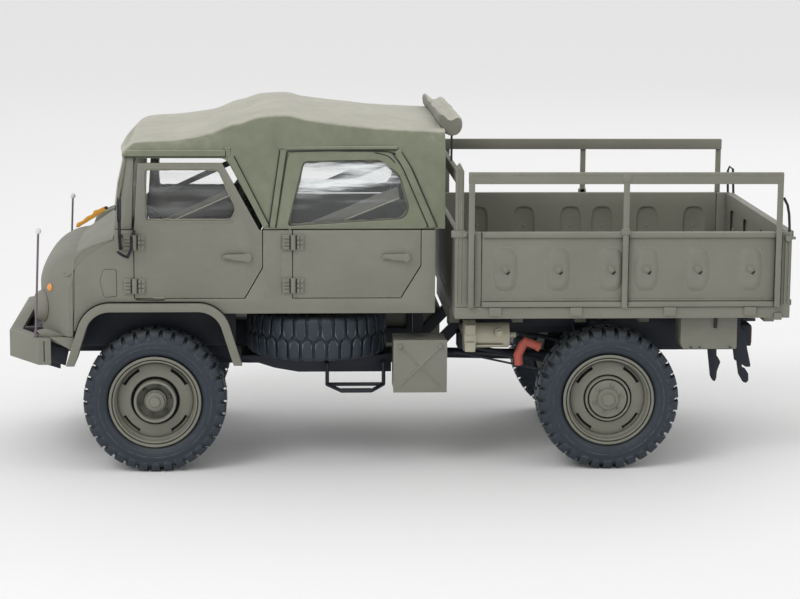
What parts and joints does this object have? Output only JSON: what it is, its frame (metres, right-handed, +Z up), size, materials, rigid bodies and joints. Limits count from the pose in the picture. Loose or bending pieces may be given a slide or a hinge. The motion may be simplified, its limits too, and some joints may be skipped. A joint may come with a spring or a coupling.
{
  "type": "scale model of a military cargo truck",
  "caption": "Scale model of a light military cargo truck: crew cab with soft top, drop-side bed with hand rails, and free-rolling wheels.",
  "frame": {"origin": "on the ground under the middle of the model's length and width", "axes": "+X to the rear, +Y to the truck's right side, +Z up; the truck faces -X"},
  "size_m": [0.1432, 0.0676, 0.0664],
  "materials": {
    "body_paint": "matt olive grey model paint",
    "canvas_paint": "matt olive green model paint on moulded canvas",
    "tyre_black": "matt blue black",
    "chassis_black": "satin black model paint",
    "clear_film": "clear plastic film",
    "lamp_clear": "clear plastic",
    "lamp_orange": "gloss orange",
    "tail_red": "gloss red",
    "board_yellow": "matt yellow",
    "pipe_red": "matt red",
    "unit_beige": "matt beige grey",
    "trim_black": "satin black",
    "marker_white": "brushed wire with a white ball",
    "seat_dark": "matt dark green"
  },
  "bodies": {
    "truck": {"spare_tyre": "tyre_black", "spare_rim": "body_paint", "nose_panel": "body_paint", "grille": "body_paint", "headlamps": "body_paint", "headlamp_glasses": "lamp_clear", "turn_lamps": "lamp_orange", "front_bumper": "body_paint", "marker_rods": "marker_white", "bonnet_board": "board_yellow", "wipers": "trim_black", "mirrors": "trim_black", "windscreen_frame": "body_paint", "windscreen_pane": "clear_film", "cab_body": "body_paint", "front_doors": "body_paint", "rear_doors": "body_paint", "door_windows": "clear_film", "window_stays": "body_paint", "front_mudguards": "body_paint", "canopy": "canvas_paint", "canopy_windows": "clear_film", "canopy_roll": "canvas_paint", "dashboard": "seat_dark", "steering_wheel": "trim_black", "front_seats": "seat_dark", "rear_bench": "seat_dark", "bed_floor": "body_paint", "bed_sides": "body_paint", "bed_headboard": "body_paint", "bed_tailgate": "body_paint", "hand_rails": "body_paint", "tailgate_stays": "trim_black", "chassis_frame": "chassis_black", "front_axle": "chassis_black", "rear_axle": "chassis_black", "coil_springs": "chassis_black", "shock_absorbers": "chassis_black", "steering_linkage": "chassis_black", "engine_block": "chassis_black", "drive_tubes": "chassis_black", "exhaust": "chassis_black", "spare_carrier": "chassis_black", "steps": "trim_black", "battery_box": "body_paint", "fuel_tank": "body_paint", "air_cleaner": "unit_beige", "filler_elbow": "pipe_red", "tool_box": "body_paint", "tail_brackets": "chassis_black", "tail_lamps": "tail_red", "tow_coupling": "chassis_black"},
    "wheel_front_left": {"tyre_front_left": "tyre_black", "rim_front_left": "body_paint"},
    "wheel_front_right": {"tyre_front_right": "tyre_black", "rim_front_right": "body_paint"},
    "wheel_rear_left": {"tyre_rear_left": "tyre_black", "rim_rear_left": "body_paint"},
    "wheel_rear_right": {"tyre_rear_right": "tyre_black", "rim_rear_right": "body_paint"}
  },
  "joints": [
    {"name": "spin_front_left", "type": "hinge", "parent": "truck", "child": "wheel_front_left", "pos_m": [-0.04473, -0.0233, 0.013], "axis": [0, 1, 0], "continuous": true},
    {"name": "spin_front_right", "type": "hinge", "parent": "truck", "child": "wheel_front_right", "pos_m": [-0.04473, 0.0233, 0.013], "axis": [0, 1, 0], "continuous": true},
    {"name": "spin_rear_left", "type": "hinge", "parent": "truck", "child": "wheel_rear_left", "pos_m": [0.03818, -0.0233, 0.013], "axis": [0, 1, 0], "continuous": true},
    {"name": "spin_rear_right", "type": "hinge", "parent": "truck", "child": "wheel_rear_right", "pos_m": [0.03818, 0.0233, 0.013], "axis": [0, 1, 0], "continuous": true}
  ]
}
